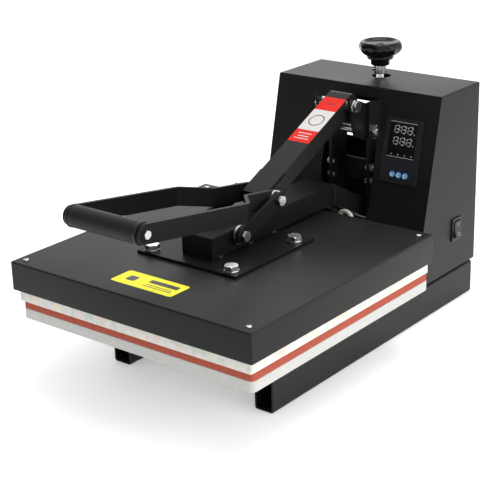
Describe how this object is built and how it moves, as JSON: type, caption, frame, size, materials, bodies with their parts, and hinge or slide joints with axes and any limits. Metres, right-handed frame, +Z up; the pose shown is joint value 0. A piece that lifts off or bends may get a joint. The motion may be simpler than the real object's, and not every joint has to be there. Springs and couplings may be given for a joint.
{
  "type": "heat press",
  "caption": "Clamshell heat press: square heated platen on a hinged arm over a padded lower platen, closed by a toggle handle, with a pressure knob and timer controller.",
  "frame": {"origin": "middle of the bounding box's underside, on the bench under the press", "axes": "+Z up, +Y from the operator towards the housing at the back, +X to the operator's right"},
  "size_m": [0.395, 0.6405, 0.3755],
  "materials": {
    "black_powder_coat": "fine-texture semi-matt black powder coat",
    "cover_powder_coat": "fine-texture semi-matt black powder coat",
    "frame_paint": "satin black paint over welded steel",
    "zinc_fastener": "bright zinc plate",
    "turned_steel": "turned bright steel",
    "cast_platen": "sanded cast aluminium",
    "heated_platen": "pale speckled cast aluminium",
    "silicone_sponge": "matt red-orange silicone sponge",
    "bezel_plastic": "matt printed overlay",
    "display": "dark glossy window",
    "button_blue": "smooth moulded plastic",
    "black_plastic": "satin moulded plastic",
    "knob_plastic": "polished phenolic",
    "relay_plastic": "moulded plastic",
    "glass_fibre": "woven glass-fibre sleeve and blanket",
    "heater_tube": "heat-stained steel tube",
    "grip_rubber": "smooth dark grip sleeve",
    "stop_rubber": "moulded rubber"
  },
  "bodies": {
    "frame": {"left_rail": "frame_paint", "right_rail": "frame_paint", "front_cross_bar": "frame_paint", "rear_cross_bar": "frame_paint", "column_beam": "frame_paint", "platen_studs": "zinc_fastener", "lower_platen": "cast_platen", "silicone_pad": "silicone_sponge", "columns": "frame_paint", "column_tie": "frame_paint", "frame_screws": "zinc_fastener", "arm_hinge_pin": "turned_steel", "lever_pin": "turned_steel", "pivot_nuts": "zinc_fastener", "screw_bracket": "frame_paint", "housing_shell": "black_powder_coat", "front_panel": "black_powder_coat", "rear_panel": "black_powder_coat", "panel_screws": "black_plastic", "controller_bezel": "bezel_plastic", "display_window": "display", "controller_case": "black_plastic", "switch_frame": "black_plastic", "mains_inlet": "black_plastic", "fuse_holder": "black_plastic", "solid_state_relay": "relay_plastic", "terminal_block": "black_plastic"},
    "platen_arm": {"arm_tube": "black_powder_coat", "arm_end_cap": "black_powder_coat", "hinge_cheeks": "frame_paint", "hinge_barrel": "frame_paint", "base_plate": "black_powder_coat", "plate_bolts": "zinc_fastener", "platen_cover": "cover_powder_coat", "cover_screws": "zinc_fastener", "insulation_blanket": "glass_fibre", "heating_element": "heater_tube", "heat_platen": "heated_platen", "temperature_probe": "turned_steel", "platen_spacers": "zinc_fastener", "heater_lead": "glass_fibre", "lower_link_bolt": "zinc_fastener", "link_spacers": "zinc_fastener"},
    "handle": {"handle_arm": "black_powder_coat", "left_handle_bar": "black_powder_coat", "right_handle_bar": "black_powder_coat", "grip": "grip_rubber", "grip_bolts": "zinc_fastener", "handle_pivot_bolt": "zinc_fastener", "stop_bolt": "stop_rubber"},
    "toggle_link": {"toggle_links": "black_powder_coat", "upper_link_bolts": "zinc_fastener"},
    "pressure_lever": {"lever_cheeks": "frame_paint", "screw_nut": "frame_paint"},
    "pressure_knob": {"pressure_knob": "knob_plastic", "pressure_screw": "turned_steel"},
    "power_rocker": {"power_rocker": "black_plastic"},
    "button_1": {"button_1": "button_blue"},
    "button_2": {"button_2": "button_blue"},
    "button_3": {"button_3": "button_blue"}
  },
  "joints": [
    {"name": "press_open", "type": "hinge", "parent": "frame", "child": "platen_arm", "pos_m": [0, 0.20825, 0.14], "axis": [-1, 0, 0], "range_deg": [0, 45]},
    {"name": "handle_lift", "type": "hinge", "parent": "frame", "child": "handle", "pos_m": [0, 0.16225, 0.306], "axis": [-1, 0, 0], "range_deg": [0, 81]},
    {"name": "link_swing", "type": "hinge", "parent": "platen_arm", "child": "toggle_link", "pos_m": [0, -0.09875, 0.1945], "axis": [1, 0, 0], "range_deg": [0, 104]},
    {"name": "knob_turn", "type": "hinge", "parent": "frame", "child": "pressure_knob", "pos_m": [0, 0.27325, 0.35], "axis": [0, 0, 1], "range_deg": [-720, 720]},
    {"name": "lever_tilt", "type": "hinge", "parent": "frame", "child": "pressure_lever", "pos_m": [0, 0.20325, 0.261], "axis": [1, 0, 0], "range_deg": [-2.91, 2.91]},
    {"name": "rocker_tilt", "type": "hinge", "parent": "frame", "child": "power_rocker", "pos_m": [0.1375, 0.26225, 0.1175], "axis": [0, 1, 0], "range_deg": [0, 14]},
    {"name": "button_1_press", "type": "slide", "parent": "frame", "child": "button_1", "axis": [0, 0.9756, -0.2195], "range_m": [0, 0.001], "stiffness_N_per_m": 400},
    {"name": "button_2_press", "type": "slide", "parent": "frame", "child": "button_2", "axis": [0, 0.9756, -0.2195], "range_m": [0, 0.001], "stiffness_N_per_m": 400},
    {"name": "button_3_press", "type": "slide", "parent": "frame", "child": "button_3", "axis": [0, 0.9756, -0.2195], "range_m": [0, 0.001], "stiffness_N_per_m": 400}
  ],
  "couplings": [
    {"joint": "handle_lift", "follows": "press_open", "ratio": 1.7855},
    {"joint": "link_swing", "follows": "press_open", "ratio": 2.29},
    {"joint": "lever_tilt", "follows": "knob_turn", "ratio": 0.0039789}
  ]
}
